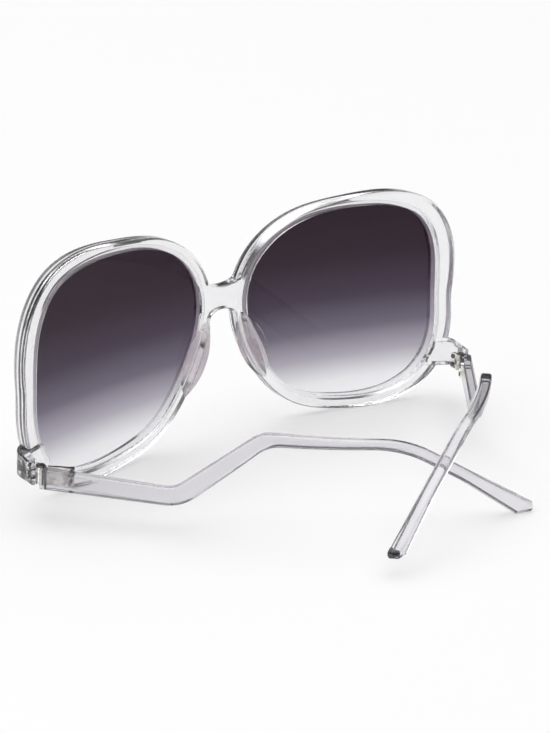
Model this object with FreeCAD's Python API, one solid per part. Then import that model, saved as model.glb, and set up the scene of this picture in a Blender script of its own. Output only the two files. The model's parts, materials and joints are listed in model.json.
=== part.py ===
import FreeCAD, Part
import math
import os
from FreeCAD import Vector

# Oversized sunglasses: a clear moulded front on a ball-shaped curve, two tinted lenses held in a groove,
# glued nose pads, and two drop arms on riveted barrel hinges.
# The origin is on the mirror plane, at the top of the nose arch, on the rear face of the bridge.
# +X points to the wearer's left, the lenses face -Y, the arms run back to +Y.

# Front
lens_opening_width = 63.0
lens_opening_height = 57.0
bridge_gap = 16.2
lens_centre_drop = 4.2
front_radius = 220.0
front_depth = 4.2
rim_top_width = 3.0
rim_bottom_width = 3.8
rim_nose_width = 3.8
rim_side_width = 5.2
rim_corner_extra = 1.3
rim_edge_radius = 0.9

# Bridge
bridge_height = 6.8
bridge_top_reach = 2.9
bridge_top_shoulder = 13.6
bridge_arch_inset = 0.7
bridge_arch_drop = 6.0
bridge_blend_radius = 2.2

# Lenses
lens_thickness = 2.0
lens_groove_depth = 1.3
lens_fit = 0.05

# Nose pads
pad_length = 24.0
pad_width = 6.0
pad_height = 3.0
pad_wrap = 0.8
pad_dome_radius = 26.0
pad_outset = 2.6
pad_drop_share = 0.3
pad_lean_degrees = 23.0
pad_splay_degrees = 35.0

# Hinges
hinge_outset = 3.8
hinge_setback = 4.8
hinge_raise = 0.25
right_hinge_lean_degrees = 2.5
knuckle_count = 3
knuckle_radius = 1.4
knuckle_gap = 0.1
knuckle_room = 0.25
leaf_thickness = 0.8
leaf_margin = 0.45
leaf_end_room = 0.1
arm_leaf_length = 8.8
leaf_corner_radius = 0.7
screw_radius = 0.6
screw_fit = 0.04
screw_head_radius = 1.1
screw_head_height = 0.45
screw_slot_width = 0.3
screw_slot_depth = 0.22
rivet_radius = 0.5
rivet_fit = 0.03
rivet_head_radius = 0.7
rivet_head_height = 0.3
rivet_edge_distance = 1.0
rivet_cover = 0.9
rivet_pitch = 2.4

# End pieces
endpiece_root_inset = 3.5
endpiece_pad_height = 0.8
endpiece_butt_height = 6.2
endpiece_butt_raise = 0.6
endpiece_top_fall = 3.0
endpiece_bottom_fall = 0.8
endpiece_corner_radius = 4.2
endpiece_inner_radius = 0.4
endpiece_edge_radius = 0.8
butt_gap = 0.15

# Arms: runs are shares of the length, levels are counted from the top of the butt
arm_thickness = 3.0
arm_length = 128.5
arm_level_share = 0.639
butt_height = 5.5
low_run_share = 0.266
low_run_sag = 3.2
low_run_lag = 2.3
low_run_height = 4.8
upper_run_share = 0.435
upper_run_lag = 2.0
upper_run_height = 3.45
arm_rise = 13.2
ear_bend_share = 0.7205
ear_bend_level = 10.0
ear_bend_lead = 1.7
ear_bend_height = 2.1
flare_share = 0.831
flare_level = 2.8
tip_cut_back = 7.0
tip_end_tilt = 0.4
tip_corner_loss = 0.3
lower_elbow_radius = 6.0
under_elbow_radius = 12.0
upper_elbow_radius = 8.0
ear_bend_radius = 28.0
flare_radius = 60.0
tip_corner_radius = 1.2
bow_start_share = 0.35
bow_end_share = 0.778
bow_radius = 116.7
arm_edge_radius = 0.7

# Rest pose: how far each arm is folded in from straight back
left_fold_degrees = 44.8
right_fold_degrees = 40.0

# How far a cutting tool passes a face, and how near counts as lying on it
small_overrun = 1.0
near_enough = 0.05
on_surface = 0.005
places_along_edge = 5

# Lens opening, from the outer side over the top: shares of half the width and half the height
opening_shares = (
    (0.995, 0.00), (0.985, 0.30), (0.925, 0.60), (0.765, 0.84), (0.50, 0.96), (0.00, 1.00),
    (-0.48, 0.91), (-0.705, 0.785), (-0.895, 0.575), (-0.995, 0.295), (-0.98, 0.00), (-0.77, -0.495),
    (-0.445, -0.845), (0.00, -0.985), (0.51, -0.975), (0.765, -0.85), (0.945, -0.60), (1.00, -0.295),
)

ball_centre = Vector(0, front_radius, 0)
up = Vector(0, 0, 1)
back = Vector(0, 1, 0)
side = Vector(1, 0, 0)


def front_y(x, z, radius):
    """Depth of the ball-shaped surface of a radius, at a place seen from the front."""
    return front_radius - math.sqrt(radius ** 2 - x ** 2 - z ** 2)


# Sizes that follow from the ones above
lens_centre_x = (bridge_gap + lens_opening_width) / 2
lens_outer_x = bridge_gap / 2 + lens_opening_width
overrun = lens_outer_x
bridge_top_half_width = bridge_gap / 2 + bridge_top_reach
bridge_arch_half_width = bridge_gap / 2 - bridge_arch_inset
pad_centre_x = bridge_gap / 2 + pad_outset
pad_centre_drop = lens_centre_drop + pad_drop_share * lens_opening_height / 2
arm_top_drop = lens_centre_drop + arm_level_share * lens_opening_height / 2
arm_middle_z = -arm_top_drop - butt_height / 2
hinge_z = arm_middle_z + hinge_raise
hinge_axis_x = lens_outer_x + hinge_outset
hinge_axis_y = front_y(hinge_axis_x, hinge_z, front_radius) + hinge_setback
endpiece_root_x = lens_outer_x - endpiece_root_inset
leaf_height = butt_height - leaf_margin * 2
knuckle_height = (leaf_height + knuckle_gap) / knuckle_count - knuckle_gap
front_leaf_length = hinge_setback - endpiece_pad_height - endpiece_inner_radius - leaf_end_room
rivet_depth = arm_thickness - rivet_cover
low_run_length = arm_length * low_run_share
upper_run_start = arm_length * upper_run_share
ear_bend_start = arm_length * ear_bend_share
flare_start = arm_length * flare_share
bow_start = arm_length * bow_start_share
bow_end = arm_length * bow_end_share
rim_bottom_drop = lens_centre_drop + lens_opening_height / 2 + rim_bottom_width
tip_drop = rim_bottom_drop + tip_corner_loss - arm_top_drop


def rounded_wire(corners, plane):
    """Closed wire of straight runs with an arc at each corner: corners are (a, b, radius)."""
    ends = []
    count = len(corners)
    for index, (a, b, radius) in enumerate(corners):
        here = Vector(a, b, 0)
        before = Vector(corners[index - 1][0], corners[index - 1][1], 0)
        after = Vector(corners[(index + 1) % count][0], corners[(index + 1) % count][1], 0)
        to_before = (before - here).normalize()
        to_after = (after - here).normalize()
        half_angle = to_before.getAngle(to_after) / 2
        if radius:
            reach = radius / math.tan(half_angle)
            inward = (to_before + to_after).normalize()
            middle = here + inward * (radius / math.sin(half_angle) - radius)
            ends.append((here + to_before * reach, middle, here + to_after * reach))
        else:
            ends.append((here, None, here))
    edges = []
    for index, (start, middle, end) in enumerate(ends):
        if middle:
            edges.append(Part.Arc(plane(start), plane(middle), plane(end)).toShape())
        edges.append(Part.LineSegment(plane(end), plane(ends[(index + 1) % count][0])).toShape())
    return Part.Wire(edges)


def opening_curve(grow):
    """Closed outline of the left lens opening, grown outwards by a width that grow gives for a place."""
    plain = []
    for across, along in opening_shares:
        x = lens_centre_x + across * lens_opening_width / 2
        z = -lens_centre_drop + along * lens_opening_height / 2
        plain.append(Vector(x, -overrun, z))
    curve = Part.BSplineCurve()
    curve.interpolate(Points=plain, PeriodicFlag=True)
    grown = []
    for point, (across, along) in zip(plain, opening_shares):
        tangent = curve.tangent(curve.parameter(point))[0]
        outward = Vector(tangent.z, 0, -tangent.x).normalize()
        grown.append(point + outward * grow(across, along))
    outline = Part.BSplineCurve()
    outline.interpolate(Points=grown, PeriodicFlag=True)
    return Part.Wire(outline.toShape())


def rim_growth(across, along):
    """Width of the rim beside a place on the opening: widest at the upper outer corner."""
    sideways = rim_side_width if across > 0 else rim_nose_width
    upright = rim_top_width if along > 0 else rim_bottom_width
    spread = across ** 2 + along ** 2
    corner = rim_corner_extra * 2 * max(0, across) * max(0, along)
    return (across ** 2 * sideways + along ** 2 * upright + corner) / spread


def lens_growth(across, along):
    return lens_groove_depth


def groove_growth(across, along):
    return lens_groove_depth + lens_fit


def through_prism(wire):
    return Part.Face(wire).extrude(back * (overrun + overrun))


def ball(radius):
    return Part.makeSphere(radius, ball_centre)


def slab(inner_step, outer_step):
    """Layer between two ball surfaces, counted forwards from the rear face of the front."""
    return ball(front_radius + outer_step).cut(ball(front_radius + inner_step))


def mirrored(shape):
    return shape.mirror(Vector(0, 0, 0), side)


def right_hinge(shape):
    """Right-hand copy of a hinge piece: this hinge leans, so the right arm folds in above the left one."""
    turned = mirrored(shape)
    turned.rotate(Vector(-hinge_axis_x, hinge_axis_y, hinge_z), back, -right_hinge_lean_degrees)
    return turned


def edges_on_ball(shape, radii):
    """Edges that lie on a ball surface of one of the radii."""
    found = []
    for edge in shape.Edges:
        first, last = edge.ParameterRange
        step = (last - first) / (places_along_edge - 1)
        places = [edge.valueAt(first + step * index) for index in range(places_along_edge)]
        for radius in radii:
            if all(abs((place - ball_centre).Length - radius) < on_surface for place in places):
                found.append(edge)
    return found


def bridge_blank():
    """Bridge seen from the front: an arc over the nose, and a shallow dip on top."""
    def place(x, z):
        return Vector(x, -overrun, z)
    top = Part.Arc(place(-bridge_top_half_width, bridge_top_shoulder), place(0, bridge_height),
                   place(bridge_top_half_width, bridge_top_shoulder)).toShape()
    arch = Part.Arc(place(bridge_arch_half_width, -bridge_arch_drop), place(0, 0),
                    place(-bridge_arch_half_width, -bridge_arch_drop)).toShape()
    right = Part.LineSegment(place(bridge_top_half_width, bridge_top_shoulder),
                             place(bridge_arch_half_width, -bridge_arch_drop)).toShape()
    left = Part.LineSegment(place(-bridge_arch_half_width, -bridge_arch_drop),
                            place(-bridge_top_half_width, bridge_top_shoulder)).toShape()
    return Part.Face(Part.Wire([top, right, arch, left])).extrude(back * (overrun + overrun))


def endpiece(opening):
    """Left end piece: a pad on the rear of the rim that turns back round the corner and ends at the hinge."""
    outer_x = hinge_axis_x + arm_thickness
    root_front = front_y(endpiece_root_x, hinge_z, front_radius + front_depth)
    root_rear = front_y(endpiece_root_x, hinge_z, front_radius) + endpiece_pad_height
    corner_front = front_y(outer_x, hinge_z, front_radius + front_depth)
    inner_rear = front_y(hinge_axis_x, hinge_z, front_radius) + endpiece_pad_height
    butt_y = hinge_axis_y - butt_gap
    plan = rounded_wire([
        (endpiece_root_x, root_front, 0),
        (outer_x, corner_front, endpiece_corner_radius),
        (outer_x, butt_y, 0),
        (hinge_axis_x, butt_y, 0),
        (hinge_axis_x, inner_rear, endpiece_inner_radius),
        (endpiece_root_x, root_rear, 0),
    ], lambda point: Vector(point.x, point.y, -overrun))
    butt_top = hinge_z + endpiece_butt_raise + endpiece_butt_height / 2
    butt_bottom = butt_top - endpiece_butt_height
    root_top = butt_top + endpiece_top_fall
    root_bottom = butt_bottom + endpiece_bottom_fall
    elevation = rounded_wire([
        (root_front - small_overrun, root_bottom, 0),
        (butt_y, butt_bottom, 0),
        (butt_y, butt_top, 0),
        (root_front - small_overrun, root_top, 0),
    ], lambda point: Vector(0, point.x, point.y))
    lug = Part.Face(plan).extrude(up * (overrun + overrun))
    lug = lug.common(Part.Face(elevation).extrude(side * (outer_x + overrun)))
    long_edges = []
    for edge in lug.Edges:
        box = edge.BoundBox
        on_top = box.ZMin > butt_top - near_enough
        below = box.ZMax < root_bottom + near_enough
        at_root = box.XMax < endpiece_root_x + near_enough
        at_butt = box.YMin > butt_y - near_enough
        if (on_top or below) and not at_root and not at_butt:
            long_edges.append(edge)
    lug = lug.makeFillet(endpiece_edge_radius, long_edges)
    return lug.cut(opening)


def knuckle_clearance():
    """Round room for the barrel, past the top and bottom of both butts."""
    height = endpiece_butt_height + butt_height
    return Part.makeCylinder(knuckle_radius + knuckle_room, height,
                             Vector(hinge_axis_x, hinge_axis_y, hinge_z - height / 2))


def lens_groove():
    """Room for the lens edge, a fit wider than the lens all round."""
    blank = through_prism(opening_curve(groove_growth))
    middle = (front_depth - lens_thickness) / 2
    return blank.common(slab(middle - lens_fit, middle + lens_thickness + lens_fit))


def front_frame():
    rim = through_prism(opening_curve(rim_growth))
    opening = through_prism(opening_curve(lambda across, along: 0))
    blank = rim.fuse([mirrored(rim), bridge_blank()]).removeSplitter()
    corners = []
    for edge in blank.Edges:
        box = edge.BoundBox
        upright = box.YLength > overrun and box.XLength < near_enough and box.ZLength < near_enough
        if upright and abs(box.XMin) < bridge_top_half_width:
            corners.append(edge)
    blank = blank.makeFillet(bridge_blend_radius, corners)
    body = blank.common(slab(0, front_depth))
    body = body.makeFillet(rim_edge_radius, edges_on_ball(body, (front_radius, front_radius + front_depth)))
    for cutter in (opening, mirrored(opening)):
        body = body.cut(cutter)
    lug = endpiece(opening)
    body = body.fuse([lug, right_hinge(lug).cut(mirrored(opening))]).removeSplitter()
    groove = lens_groove()
    room = knuckle_clearance()
    for cutter in (groove, mirrored(groove), room, right_hinge(room)):
        body = body.cut(cutter)
    return body


def lens():
    blank = through_prism(opening_curve(lens_growth))
    middle = (front_depth - lens_thickness) / 2
    return blank.common(slab(middle, middle + lens_thickness))


def nose_pad(frame):
    """Left nose pad: a domed leaf, bonded to the rear and the nose side of the rim."""
    half = pad_length / 2
    bulge = pad_width / 2

    def place(across, along):
        return Vector(across, -overrun, along)
    near = Part.Arc(place(0, half), place(-bulge, 0), place(0, -half)).toShape()
    far = Part.Arc(place(0, -half), place(bulge, 0), place(0, half)).toShape()
    leaf = Part.Face(Part.Wire([near, far])).extrude(back * (overrun + overrun))
    dome = Part.makeSphere(pad_dome_radius, back * (pad_height - pad_dome_radius))
    pad = leaf.common(dome)
    pad.rotate(Vector(0, 0, 0), Vector(0, 0, 1), -pad_splay_degrees)
    pad.rotate(Vector(0, 0, 0), back, -pad_lean_degrees)
    seat_y = front_y(pad_centre_x, pad_centre_drop, front_radius)
    pad.translate(Vector(pad_centre_x, seat_y, -pad_centre_drop))
    opening = through_prism(opening_curve(lambda across, along: 0)).cut(ball(front_radius))
    return pad.common(ball(front_radius + pad_wrap)).cut(opening).cut(lens_groove()).cut(frame)


def barrel(low, high):
    """One knuckle about the hinge axis, between two heights."""
    return Part.makeCylinder(knuckle_radius, high - low, Vector(hinge_axis_x, hinge_axis_y, low))


def leaf_plate(start, end, low, high):
    return Part.makeBox(leaf_thickness, end - start, high - low,
                        Vector(hinge_axis_x - leaf_thickness, start, low))


def knuckle_levels():
    """Heights of the three knuckles, from the lowest."""
    step = knuckle_height + knuckle_gap
    first = hinge_z - leaf_height / 2
    return [(first + step * index, first + step * index + knuckle_height) for index in range(knuckle_count)]


def round_free_corners(plate, far_y):
    edges = []
    for edge in plate.Edges:
        box = edge.BoundBox
        across = box.XLength > leaf_thickness / 2 and box.ZLength < near_enough
        if across and abs(box.YMin - far_y) < near_enough:
            edges.append(edge)
    return plate.makeFillet(leaf_corner_radius, edges)


def hinge_leaf(direction, length, levels):
    """Leaf that runs from the barrel forwards (-1) or back (1), with the knuckles at the levels."""
    low = hinge_z - leaf_height / 2
    high = hinge_z + leaf_height / 2
    root = hinge_axis_y + direction * (knuckle_radius + knuckle_room)
    far = hinge_axis_y + direction * length
    plate = leaf_plate(min(root, far), max(root, far), low, high)
    plate = round_free_corners(plate, far)
    for bottom, top in levels:
        tab = leaf_plate(min(root, hinge_axis_y), max(root, hinge_axis_y), bottom, top)
        plate = plate.fuse([tab, barrel(bottom, top)])
    bore = Part.makeCylinder(screw_radius + screw_fit, leaf_height + small_overrun * 2,
                             Vector(hinge_axis_x, hinge_axis_y, low - small_overrun))
    return plate.removeSplitter().cut(bore)


def rivet_places(direction, length):
    """Depth and height of the two rivets of a leaf, one above the other near its free end."""
    y = hinge_axis_y + direction * (length - rivet_edge_distance)
    return [(y, hinge_z - rivet_pitch / 2), (y, hinge_z + rivet_pitch / 2)]


def rivet_body(y, z, radius, depth):
    foot = Vector(hinge_axis_x - leaf_thickness, y, z)
    return Part.makeCylinder(radius, leaf_thickness + depth, foot, side)


def rivets(places):
    """Rivets with rounded heads on the inner side of a leaf."""
    pieces = []
    inner_x = hinge_axis_x - leaf_thickness
    for y, z in places:
        head = Part.makeCylinder(rivet_head_radius, rivet_head_height, Vector(inner_x, y, z), side * -1)
        rim = [edge for edge in head.Edges if edge.Closed and edge.BoundBox.XMax < inner_x - on_surface]
        head = head.makeFillet(rivet_head_height / 2, rim)
        pieces.append(rivet_body(y, z, rivet_radius, rivet_depth).fuse(head).removeSplitter())
    return Part.makeCompound(pieces)


def rivet_tool(places):
    """What the rivets of a leaf take out of the pieces they go through."""
    return Part.makeCompound([rivet_body(y, z, rivet_radius + rivet_fit, rivet_depth + rivet_fit)
                              for y, z in places])


def hinge_screw(levels):
    """Slotted screw, head up, through the three knuckles."""
    low = levels[0][0]
    high = levels[-1][1]
    shank = Part.makeCylinder(screw_radius, high - low, Vector(hinge_axis_x, hinge_axis_y, low))
    head = Part.makeCylinder(screw_head_radius, screw_head_height, Vector(hinge_axis_x, hinge_axis_y, high))
    slot = Part.makeBox(screw_head_radius * 2 + small_overrun * 2, screw_slot_width, screw_slot_depth * 2,
                        Vector(hinge_axis_x - screw_head_radius - small_overrun,
                               hinge_axis_y - screw_slot_width / 2,
                               high + screw_head_height - screw_slot_depth))
    return shank.fuse(head).removeSplitter().cut(slot)


def temple():
    """Left arm, straight back: its side outline cut from a bar that bows in along the upper run."""
    start = butt_gap
    levels = rounded_wire([
        (start, 0, 0),
        (low_run_length, -low_run_sag, lower_elbow_radius),
        (upper_run_start, arm_rise, upper_elbow_radius),
        (ear_bend_start, ear_bend_level, ear_bend_radius),
        (arm_length, tip_end_tilt - tip_drop, tip_corner_radius),
        (arm_length - tip_cut_back, -tip_drop, tip_corner_radius),
        (flare_start, -flare_level, flare_radius),
        (ear_bend_start - ear_bend_lead, ear_bend_level - ear_bend_height, ear_bend_radius),
        (upper_run_start + upper_run_lag, arm_rise - upper_run_height, upper_elbow_radius),
        (low_run_length + low_run_lag, -low_run_sag - low_run_height, under_elbow_radius),
        (start, -butt_height, 0),
    ], lambda point: Vector(-overrun, hinge_axis_y + point.x, point.y - arm_top_drop))
    middle_x = hinge_axis_x + arm_thickness / 2
    centre = Vector(middle_x - bow_radius, hinge_axis_y + bow_start, -overrun - overrun)
    inner_radius = bow_radius - arm_thickness / 2
    outer_radius = bow_radius + arm_thickness / 2
    turn = math.asin((bow_end - bow_start) / bow_radius)
    tip_run = (arm_length - bow_end + arm_thickness) / math.cos(turn)

    def on_arc(radius, angle):
        return centre + Vector(radius * math.cos(angle), radius * math.sin(angle), 0)

    def at_butt(radius):
        return on_arc(radius, 0) - back * bow_start

    def past_tip(radius):
        return on_arc(radius, turn) + Vector(-math.sin(turn), math.cos(turn), 0) * tip_run

    def bow(radius):
        return Part.Arc(on_arc(radius, 0), on_arc(radius, turn / 2), on_arc(radius, turn)).toShape()
    plan = Part.Wire([
        Part.LineSegment(at_butt(inner_radius), on_arc(inner_radius, 0)).toShape(),
        bow(inner_radius),
        Part.LineSegment(on_arc(inner_radius, turn), past_tip(inner_radius)).toShape(),
        Part.LineSegment(past_tip(inner_radius), past_tip(outer_radius)).toShape(),
        Part.LineSegment(past_tip(outer_radius), on_arc(outer_radius, turn)).toShape(),
        bow(outer_radius),
        Part.LineSegment(on_arc(outer_radius, 0), at_butt(outer_radius)).toShape(),
        Part.LineSegment(at_butt(outer_radius), at_butt(inner_radius)).toShape(),
    ])
    bar = Part.Face(plan).extrude(up * (overrun + overrun + overrun))
    arm = bar.common(Part.Face(levels).extrude(side * (overrun + overrun + overrun)))
    long_edges = []
    for edge in arm.Edges:
        box = edge.BoundBox
        across = box.ZLength < near_enough and box.YLength < near_enough
        at_butt_end = box.YMax < hinge_axis_y + butt_gap + near_enough
        faces = arm.ancestorsOfType(edge, Part.Face)
        normals = [face.normalAt(*face.Surface.parameter(edge.CenterOfMass)) for face in faces]
        tilted = [abs(normal.z) > near_enough for normal in normals]
        if not across and not at_butt_end and any(tilted) and not all(tilted):
            long_edges.append(edge)
    arm = arm.makeFillet(arm_edge_radius, long_edges)
    return arm.cut(knuckle_clearance())


def folded(shape, degrees):
    """A left-hand piece, turned in about the left hinge axis."""
    turned = shape.copy()
    turned.rotate(Vector(hinge_axis_x, hinge_axis_y, 0), up, degrees)
    return turned


def build():
    levels = knuckle_levels()
    front_places = rivet_places(-1, front_leaf_length)
    arm_places = rivet_places(1, arm_leaf_length)
    front_tool = rivet_tool(front_places)
    arm_tool = rivet_tool(arm_places)
    frame = front_frame()
    on_rim = {"lens": lens(), "nose_pad": nose_pad(frame)}
    on_endpiece = {
        "front_hinge_leaf": hinge_leaf(-1, front_leaf_length, levels[::2]).cut(front_tool),
        "front_hinge_rivets": rivets(front_places),
        "hinge_screw": hinge_screw(levels),
    }
    on_arm = {
        "temple": temple().cut(arm_tool),
        "temple_hinge_leaf": hinge_leaf(1, arm_leaf_length, levels[1::2]).cut(arm_tool),
        "temple_hinge_rivets": rivets(arm_places),
    }
    nodes = {"front_frame": frame.cut(front_tool).cut(right_hinge(front_tool))}
    for name, shape in on_rim.items():
        nodes["left_" + name] = shape
        nodes["right_" + name] = mirrored(shape)
    for name, shape in on_endpiece.items():
        nodes["left_" + name] = shape
        nodes["right_" + name] = right_hinge(shape)
    for name, shape in on_arm.items():
        nodes["left_" + name] = folded(shape, left_fold_degrees)
        nodes["right_" + name] = right_hinge(folded(shape, right_fold_degrees))
    return nodes


os.makedirs("parts", exist_ok=True)
for node, shape in build().items():
    shape.exportStep("parts/" + node + ".step")
    box = shape.BoundBox
    print(node, len(shape.Solids), shape.isValid(), round(shape.Volume, 1),
          [round(value, 2) for value in (box.XMin, box.XMax, box.YMin, box.YMax, box.ZMin, box.ZMax)])
print("hinge axis", round(hinge_axis_x, 3), round(hinge_axis_y, 3), round(hinge_z, 3))
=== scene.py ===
import json
import math
import bpy
from mathutils import Matrix, Vector


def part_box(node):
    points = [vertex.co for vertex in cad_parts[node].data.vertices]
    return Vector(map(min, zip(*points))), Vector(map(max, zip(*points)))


# Oversized sunglasses with a clear front, graduated lenses and clear drop arms, half folded on a pale floor.
# Lengths are in metres.

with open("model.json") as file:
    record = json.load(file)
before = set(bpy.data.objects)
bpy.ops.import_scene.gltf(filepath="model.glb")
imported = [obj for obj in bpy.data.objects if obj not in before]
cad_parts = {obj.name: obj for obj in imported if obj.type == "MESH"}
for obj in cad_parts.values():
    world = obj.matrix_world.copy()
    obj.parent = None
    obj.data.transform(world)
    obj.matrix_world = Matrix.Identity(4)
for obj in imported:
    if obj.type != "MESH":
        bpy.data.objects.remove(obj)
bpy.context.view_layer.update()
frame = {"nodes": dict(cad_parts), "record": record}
nodes = frame["nodes"]

# Camera, in metres, degrees and millimetres of film
camera_place = (0.379837, 0.460761, 0.197244)
camera_azimuth = 139.0956
camera_elevation = 19.6755
camera_roll = 2.1193
camera_lens = 111.32
film_width = 36.0
nearest_view = 0.01

# Floor
floor_level = min(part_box(name)[0].z for name in nodes)
floor_half_size = 4.0
floor_colour = (0.97, 0.97, 0.97, 1.0)
floor_whitening = 0.5
plain_white = (1.0, 1.0, 1.0, 1.0)
plain_black = (0.0, 0.0, 0.0, 1.0)

# Room: its colours and the heights, as the sine of the elevation, at which they are reached
horizon_colour = (0.985, 0.985, 0.985, 1.0)
wall_colour = (0.09, 0.088, 0.092, 1.0)
ceiling_colour = (0.07, 0.068, 0.072, 1.0)
horizon_top = 0.06
wall_foot = 0.16
ceiling_edge = 0.45

# Sky light: a soft patch overhead, with the cosines of the angles at which it begins and is full
sky_direction = (-0.15, -0.22, 0.964)
sky_strength = 2.25
sky_begins = 0.60
sky_full = 0.95

# Side lamp
side_lamp_place = (1.2, -0.2, 0.7)
side_lamp_aim = (0.0, 0.03, 0.0)
side_lamp_size = 0.9
side_lamp_power = 3.0

# Clear plastics: colour and density inside, tint of the skin, share of light let through and gloss
plastics = {
    "clear_front": {
        "body_colour": (0.72, 0.71, 0.74, 1.0),
        "body_density": 60.0,
        "clouded_skin": (0.97, 0.968, 0.975, 1.0),
        "clean_skin": (1.0, 1.0, 1.0, 1.0),
        "clearness": 0.97,
        "roughness": 0.04,
    },
    "clear_arm": {
        "body_colour": (0.72, 0.70, 0.75, 1.0),
        "body_density": 130.0,
        "clouded_skin": (0.885, 0.877, 0.895, 1.0),
        "clean_skin": (0.92, 0.914, 0.926, 1.0),
        "clearness": 0.97,
        "roughness": 0.02,
    },
    "clear_pad": {
        "body_colour": (0.64, 0.57, 0.62, 1.0),
        "body_density": 300.0,
        "clouded_skin": (0.97, 0.968, 0.975, 1.0),
        "clean_skin": (1.0, 1.0, 1.0, 1.0),
        "clearness": 0.95,
        "roughness": 0.03,
    },
}
plastic_ior = 1.49
cloud_scale = 90.0
cloud_detail = 3.0
cloud_limits = (0.3, 0.7)
wipe_scale = 700.0
wipe_detail = 3.0
wipe_stretch = (1.0, 0.35, 1.0)
wipe_roughness = 0.02
flow_scale = 160.0
flow_detail = 1.0
flow_strength = 0.08
flow_depth = 0.00005

# Frost of the plastic round each hinge: the hinge's x and y, where the frost begins to fade and ends
hinge_place = (0.0749, 0.0194)
frost_fades = 0.008
frost_ends = 0.0115
frost_roughness = 0.07

# Lenses: tint by height, from the bottom to the top
lens_names = ("left_lens", "right_lens")
lens_top = max(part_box(name)[1].z for name in lens_names)
lens_bottom = min(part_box(name)[0].z for name in lens_names)
lens_ior = 1.18
lens_tint = (
    (0.00, (0.97, 0.97, 0.98, 1.0)),
    (0.10, (0.82, 0.82, 0.845, 1.0)),
    (0.22, (0.41, 0.39, 0.445, 1.0)),
    (0.36, (0.152, 0.132, 0.178, 1.0)),
    (0.52, (0.064, 0.048, 0.072, 1.0)),
    (0.72, (0.034, 0.0215, 0.0325, 1.0)),
    (1.00, (0.024, 0.0135, 0.020, 1.0)),
)
lens_roughness = 0.005
dust_scale = 1500.0
dust_roughness = 0.03
haze_scale = 60.0
haze_shift = 0.01
haze_mean = 0.5

# Lens opening: the mean distance of its edge from a middle point in x and z,
# and waves round it, each with its height and its start angle in radians
opening_middle = (0.0396, -0.0042)
opening_mean = 0.030771
opening_waves = (
    (0.001770, 0.380),
    (0.001900, -0.618),
    (0.001115, 2.558),
    (0.001124, -2.819),
    (0.000501, 2.894),
    (0.000155, -2.557),
)
groove_blur = 0.0002

# Metals
metals = {
    "hinge_metal": {
        "bright_colour": (1.0, 0.99, 0.96, 1.0),
        "dull_colour": (0.72, 0.69, 0.65, 1.0),
        "roughness": 0.06,
        "grain_stretch": (1.0, 1.0, 0.1),
    },
    "fastener_metal": {
        "bright_colour": (0.24, 0.22, 0.21, 1.0),
        "dull_colour": (0.16, 0.15, 0.14, 1.0),
        "roughness": 0.22,
        "grain_stretch": (1.0, 1.0, 1.0),
    },
}
patch_scale = 550.0
patch_detail = 4.0
patch_limits = (0.40, 0.56)
grain_scale = 2600.0
grain_strength = 0.15
grain_depth = 0.00005
grain_roughness = 0.18


class Value:
    """A shader socket that takes part in sums: each operator adds one Math node."""

    def __init__(self, finish, socket):
        self.finish = finish
        self.socket = socket

    def _math(self, operation, first, second):
        return self.finish.node("ShaderNodeMath", {"operation": operation}, {0: first, 1: second})["Value"]

    def __add__(self, other):
        return self._math("ADD", self, other)

    def __radd__(self, other):
        return self._math("ADD", other, self)

    def __sub__(self, other):
        return self._math("SUBTRACT", self, other)

    def __rsub__(self, other):
        return self._math("SUBTRACT", other, self)

    def __mul__(self, other):
        return self._math("MULTIPLY", self, other)

    def __rmul__(self, other):
        return self._math("MULTIPLY", other, self)

    def __truediv__(self, other):
        return self._math("DIVIDE", self, other)

    def function(self, operation, other=0.0):
        """Any other operation of the Math node, such as SQRT, on this value."""
        return self._math(operation, self, other)

    def change(self, low, high, start, end):
        """A smooth change from start, where this value is low, to end, where it is high."""
        return self.finish.node("ShaderNodeMapRange", {"interpolation_type": "SMOOTHSTEP"}, {
            "Value": self,
            "From Min": low,
            "From Max": high,
            "To Min": start,
            "To Max": end,
        })["Result"]

    def colour(self, stops, interpolation="LINEAR"):
        """The colour that belongs to this value among (value, colour) stops."""
        settings = {"interpolation": interpolation, "stops": stops}
        return self.finish.node("ShaderNodeValToRGB", settings, {"Fac": self})["Color"]


class Outputs:
    """The outputs of one node, by name."""

    def __init__(self, finish, made):
        self.finish = finish
        self.made = made

    def __getitem__(self, name):
        return Value(self.finish, self.made.outputs[name])


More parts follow.
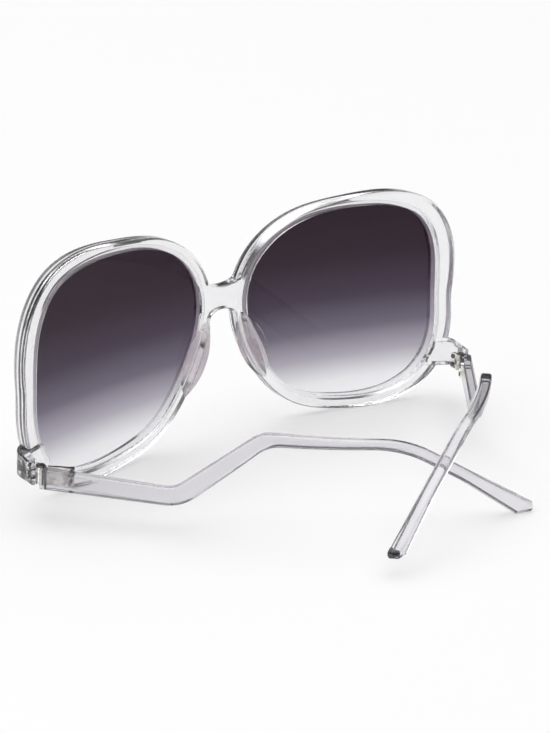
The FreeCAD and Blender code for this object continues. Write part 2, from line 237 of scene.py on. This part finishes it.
class Finish:
    """A material, or the world, that is built up from nodes."""

    def __init__(self, owner):
        self.owner = owner
        owner.use_nodes = True
        self.tree = owner.node_tree
        self.tree.nodes.clear()

    def node(self, kind, settings=None, inputs=None):
        made = self.tree.nodes.new(kind)
        for name, value in (settings or {}).items():
            if name == "stops":
                ramp = made.color_ramp
                while len(ramp.elements) < len(value):
                    ramp.elements.new(1.0)
                for element, (place, colour) in zip(ramp.elements, value):
                    element.position = place
                    element.color = colour
            elif name == "interpolation":
                made.color_ramp.interpolation = value
            else:
                setattr(made, name, value)
        for name, value in (inputs or {}).items():
            if isinstance(value, Value):
                self.tree.links.new(value.socket, made.inputs[name])
            else:
                made.inputs[name].default_value = value
        return Outputs(self, made)

    def place(self):
        """Where a point is on the piece."""
        return self.node("ShaderNodeTexCoord")["Object"]

    def axes(self, place):
        """The x, y and z of a place."""
        return self.node("ShaderNodeSeparateXYZ", None, {0: place})

    def noise(self, place, scale, detail=2.0, stretch=None):
        if stretch:
            place = self.node("ShaderNodeMapping", None, {"Vector": place, "Scale": stretch})["Vector"]
        inputs = {"Vector": place, "Scale": scale, "Detail": detail}
        return self.node("ShaderNodeTexNoise", None, inputs)["Fac"]

    def bump(self, height, strength, depth):
        inputs = {"Height": height, "Strength": strength, "Distance": depth}
        return self.node("ShaderNodeBump", None, inputs)["Normal"]

    def surface(self, shader, inside=None):
        world = isinstance(self.owner, bpy.types.World)
        inputs = {"Surface": shader}
        if inside:
            inputs["Volume"] = inside
        self.node("ShaderNodeOutputWorld" if world else "ShaderNodeOutputMaterial", None, inputs)
        return self.owner


def clear_plastic(name, body_colour, body_density, clouded_skin, clean_skin, clearness, roughness):
    """Clear cast plastic: tinted through, with faint cloud, wipe marks, mould flow and frost at the hinges."""
    finish = Finish(bpy.data.materials.new(name))
    place = finish.place()
    axes = finish.axes(place)
    sideways = axes["X"].function("ABSOLUTE") - hinge_place[0]
    lengthways = axes["Y"] - hinge_place[1]
    reach = (sideways * sideways + lengthways * lengthways).function("SQRT")
    frost = reach.change(frost_fades, frost_ends, frost_roughness, 0.0)
    cloud = finish.noise(place, cloud_scale, cloud_detail)
    marks = finish.noise(place, wipe_scale, wipe_detail, wipe_stretch)
    flow = finish.noise(place, flow_scale, flow_detail)
    shader = finish.node("ShaderNodeBsdfPrincipled", None, {
        "Base Color": cloud.colour(tuple(zip(cloud_limits, (clouded_skin, clean_skin)))),
        "Roughness": roughness + wipe_roughness * marks + frost,
        "IOR": plastic_ior,
        "Transmission Weight": clearness,
        "Normal": finish.bump(flow, flow_strength, flow_depth),
    })
    inside = finish.node("ShaderNodeVolumeAbsorption", None, {"Color": body_colour, "Density": body_density})
    return finish.surface(shader["BSDF"], inside["Volume"])


def share_in_groove(axes):
    """0 on the open part of a lens, 1 on the edge that sits in the groove of the rim."""
    across = axes["X"].function("ABSOLUTE") - opening_middle[0]
    along = axes["Z"] - opening_middle[1]
    angle = along.function("ARCTAN2", across)
    past = (across * across + along * along).function("SQRT") - opening_mean
    for turns, (height, start) in enumerate(opening_waves, 1):
        past = past - height * (angle * turns - start).function("COSINE")
    return past.change(0.0, groove_blur, 0.0, 1.0)


def graduated_lens(name):
    """Tint from nearly black at the top to nearly clear at the bottom; the edge in the rim is clear."""
    finish = Finish(bpy.data.materials.new(name))
    place = finish.place()
    axes = finish.axes(place)
    dust = finish.noise(place, dust_scale)
    haze = finish.noise(place, haze_scale)
    height = (axes["Z"] - lens_bottom) / (lens_top - lens_bottom) + haze_shift * (haze - haze_mean)
    depth = height * (1.0 - share_in_groove(axes))
    shader = finish.node("ShaderNodeBsdfPrincipled", None, {
        "Base Color": depth.colour(lens_tint),
        "Roughness": lens_roughness + dust_roughness * dust * haze,
        "IOR": lens_ior,
        "Transmission Weight": 1.0,
    })
    return finish.surface(shader["BSDF"])


def worked_metal(name, bright_colour, dull_colour, roughness, grain_stretch):
    """Stamped or turned metal: fine grain along the piece and slightly dulled patches."""
    finish = Finish(bpy.data.materials.new(name))
    place = finish.place()
    patches = finish.noise(place, patch_scale, patch_detail)
    grain = finish.noise(place, grain_scale, stretch=grain_stretch)
    shader = finish.node("ShaderNodeBsdfPrincipled", None, {
        "Base Color": patches.colour(tuple(zip(patch_limits, (dull_colour, bright_colour)))),
        "Metallic": 1.0,
        "Roughness": roughness + grain_roughness * grain,
        "Normal": finish.bump(grain, grain_strength, grain_depth),
    })
    return finish.surface(shader["BSDF"])


def floor_paint(name):
    """Pale matt floor: seen straight, in gloss or through clear pieces it is partly plain white."""
    finish = Finish(bpy.data.materials.new(name))
    ray = finish.node("ShaderNodeLightPath")
    seen = ray["Is Camera Ray"] + ray["Is Glossy Ray"] + ray["Is Transmission Ray"]
    matt = finish.node("ShaderNodeBsdfDiffuse", None, {"Color": floor_colour})
    white = finish.node("ShaderNodeEmission", None, {"Color": plain_white, "Strength": 1.0})
    share = seen.function("MINIMUM", 1.0) * floor_whitening
    shader = finish.node("ShaderNodeMixShader", None, {0: share, 1: matt["BSDF"], 2: white["Emission"]})
    return finish.surface(shader["Shader"])


def softbox(name, place, aim, size, power):
    lamp = bpy.data.lights.new(name, "AREA")
    lamp.shape = "SQUARE"
    lamp.size = size
    lamp.energy = power
    box = bpy.data.objects.new(name, lamp)
    box.location = place
    box.rotation_mode = "QUATERNION"
    box.rotation_quaternion = (Vector(place) - Vector(aim)).to_track_quat("Z", "Y")
    bpy.context.scene.collection.objects.link(box)


# Finishes of the pieces, by the slots of the record
finishes = {name: clear_plastic(name, **values) for name, values in plastics.items()}
finishes["tinted_lens"] = graduated_lens("graduated_lens")
for name, values in metals.items():
    finishes[name] = worked_metal(name, **values)
for part in frame["record"]["subparts"]:
    piece = nodes[part["node"]]
    piece.data.materials.clear()
    piece.data.materials.append(finishes[part["material_slot"]])

# Floor under the lowest piece
signs = ((-1, -1), (1, -1), (1, 1), (-1, 1))
corners = [(x * floor_half_size, y * floor_half_size, floor_level) for x, y in signs]
floor_mesh = bpy.data.meshes.new("floor")
floor_mesh.from_pydata(corners, [], [(0, 1, 2, 3)])
floor_mesh.materials.append(floor_paint("pale_floor"))
floor = bpy.data.objects.new("floor", floor_mesh)
bpy.context.scene.collection.objects.link(floor)

# Light: a side lamp, and a room that is pale at the horizon and dark above, with the soft sky light in it
softbox("left_side", side_lamp_place, side_lamp_aim, side_lamp_size, side_lamp_power)
room = Finish(bpy.data.worlds.new("room"))
direction = room.node("ShaderNodeTexCoord")["Generated"]
room_colour = room.axes(direction)["Z"].colour((
    (0.0, horizon_colour),
    (horizon_top, horizon_colour),
    (wall_foot, wall_colour),
    (ceiling_edge, ceiling_colour),
))
room_light = room.node("ShaderNodeBackground", None, {"Color": room_colour, "Strength": 1.0})
nearness = room.node("ShaderNodeVectorMath", {"operation": "DOT_PRODUCT"}, {0: direction, 1: sky_direction})
sky_colour = nearness["Value"].colour(((sky_begins, plain_black), (sky_full, plain_white)), "EASE")
sky_light = room.node("ShaderNodeBackground", None, {"Color": sky_colour, "Strength": sky_strength})
lights = {0: room_light["Background"], 1: sky_light["Background"]}
bpy.context.scene.world = room.surface(room.node("ShaderNodeAddShader", None, lights)["Shader"])

# Camera
turn = math.radians(camera_azimuth)
lift = math.radians(camera_elevation)
roll = math.radians(camera_roll)
behind = Vector((math.sin(turn) * math.cos(lift), -math.cos(turn) * math.cos(lift), math.sin(lift)))
level = Vector((0.0, 0.0, 1.0)).cross(behind).normalized()
above = behind.cross(level)
rightward = level * math.cos(roll) + above * math.sin(roll)
upward = above * math.cos(roll) - level * math.sin(roll)
camera_turn = Matrix((rightward, upward, behind)).transposed().to_4x4()
camera_data = bpy.data.cameras.new("camera")
camera_data.lens = camera_lens
camera_data.sensor_fit = "AUTO"
camera_data.sensor_width = film_width
camera_data.clip_start = nearest_view
camera = bpy.data.objects.new("camera", camera_data)
camera.matrix_world = Matrix.Translation(camera_place) @ camera_turn
bpy.context.scene.collection.objects.link(camera)
bpy.context.scene.camera = camera
bpy.context.scene.view_settings.view_transform = "Standard"
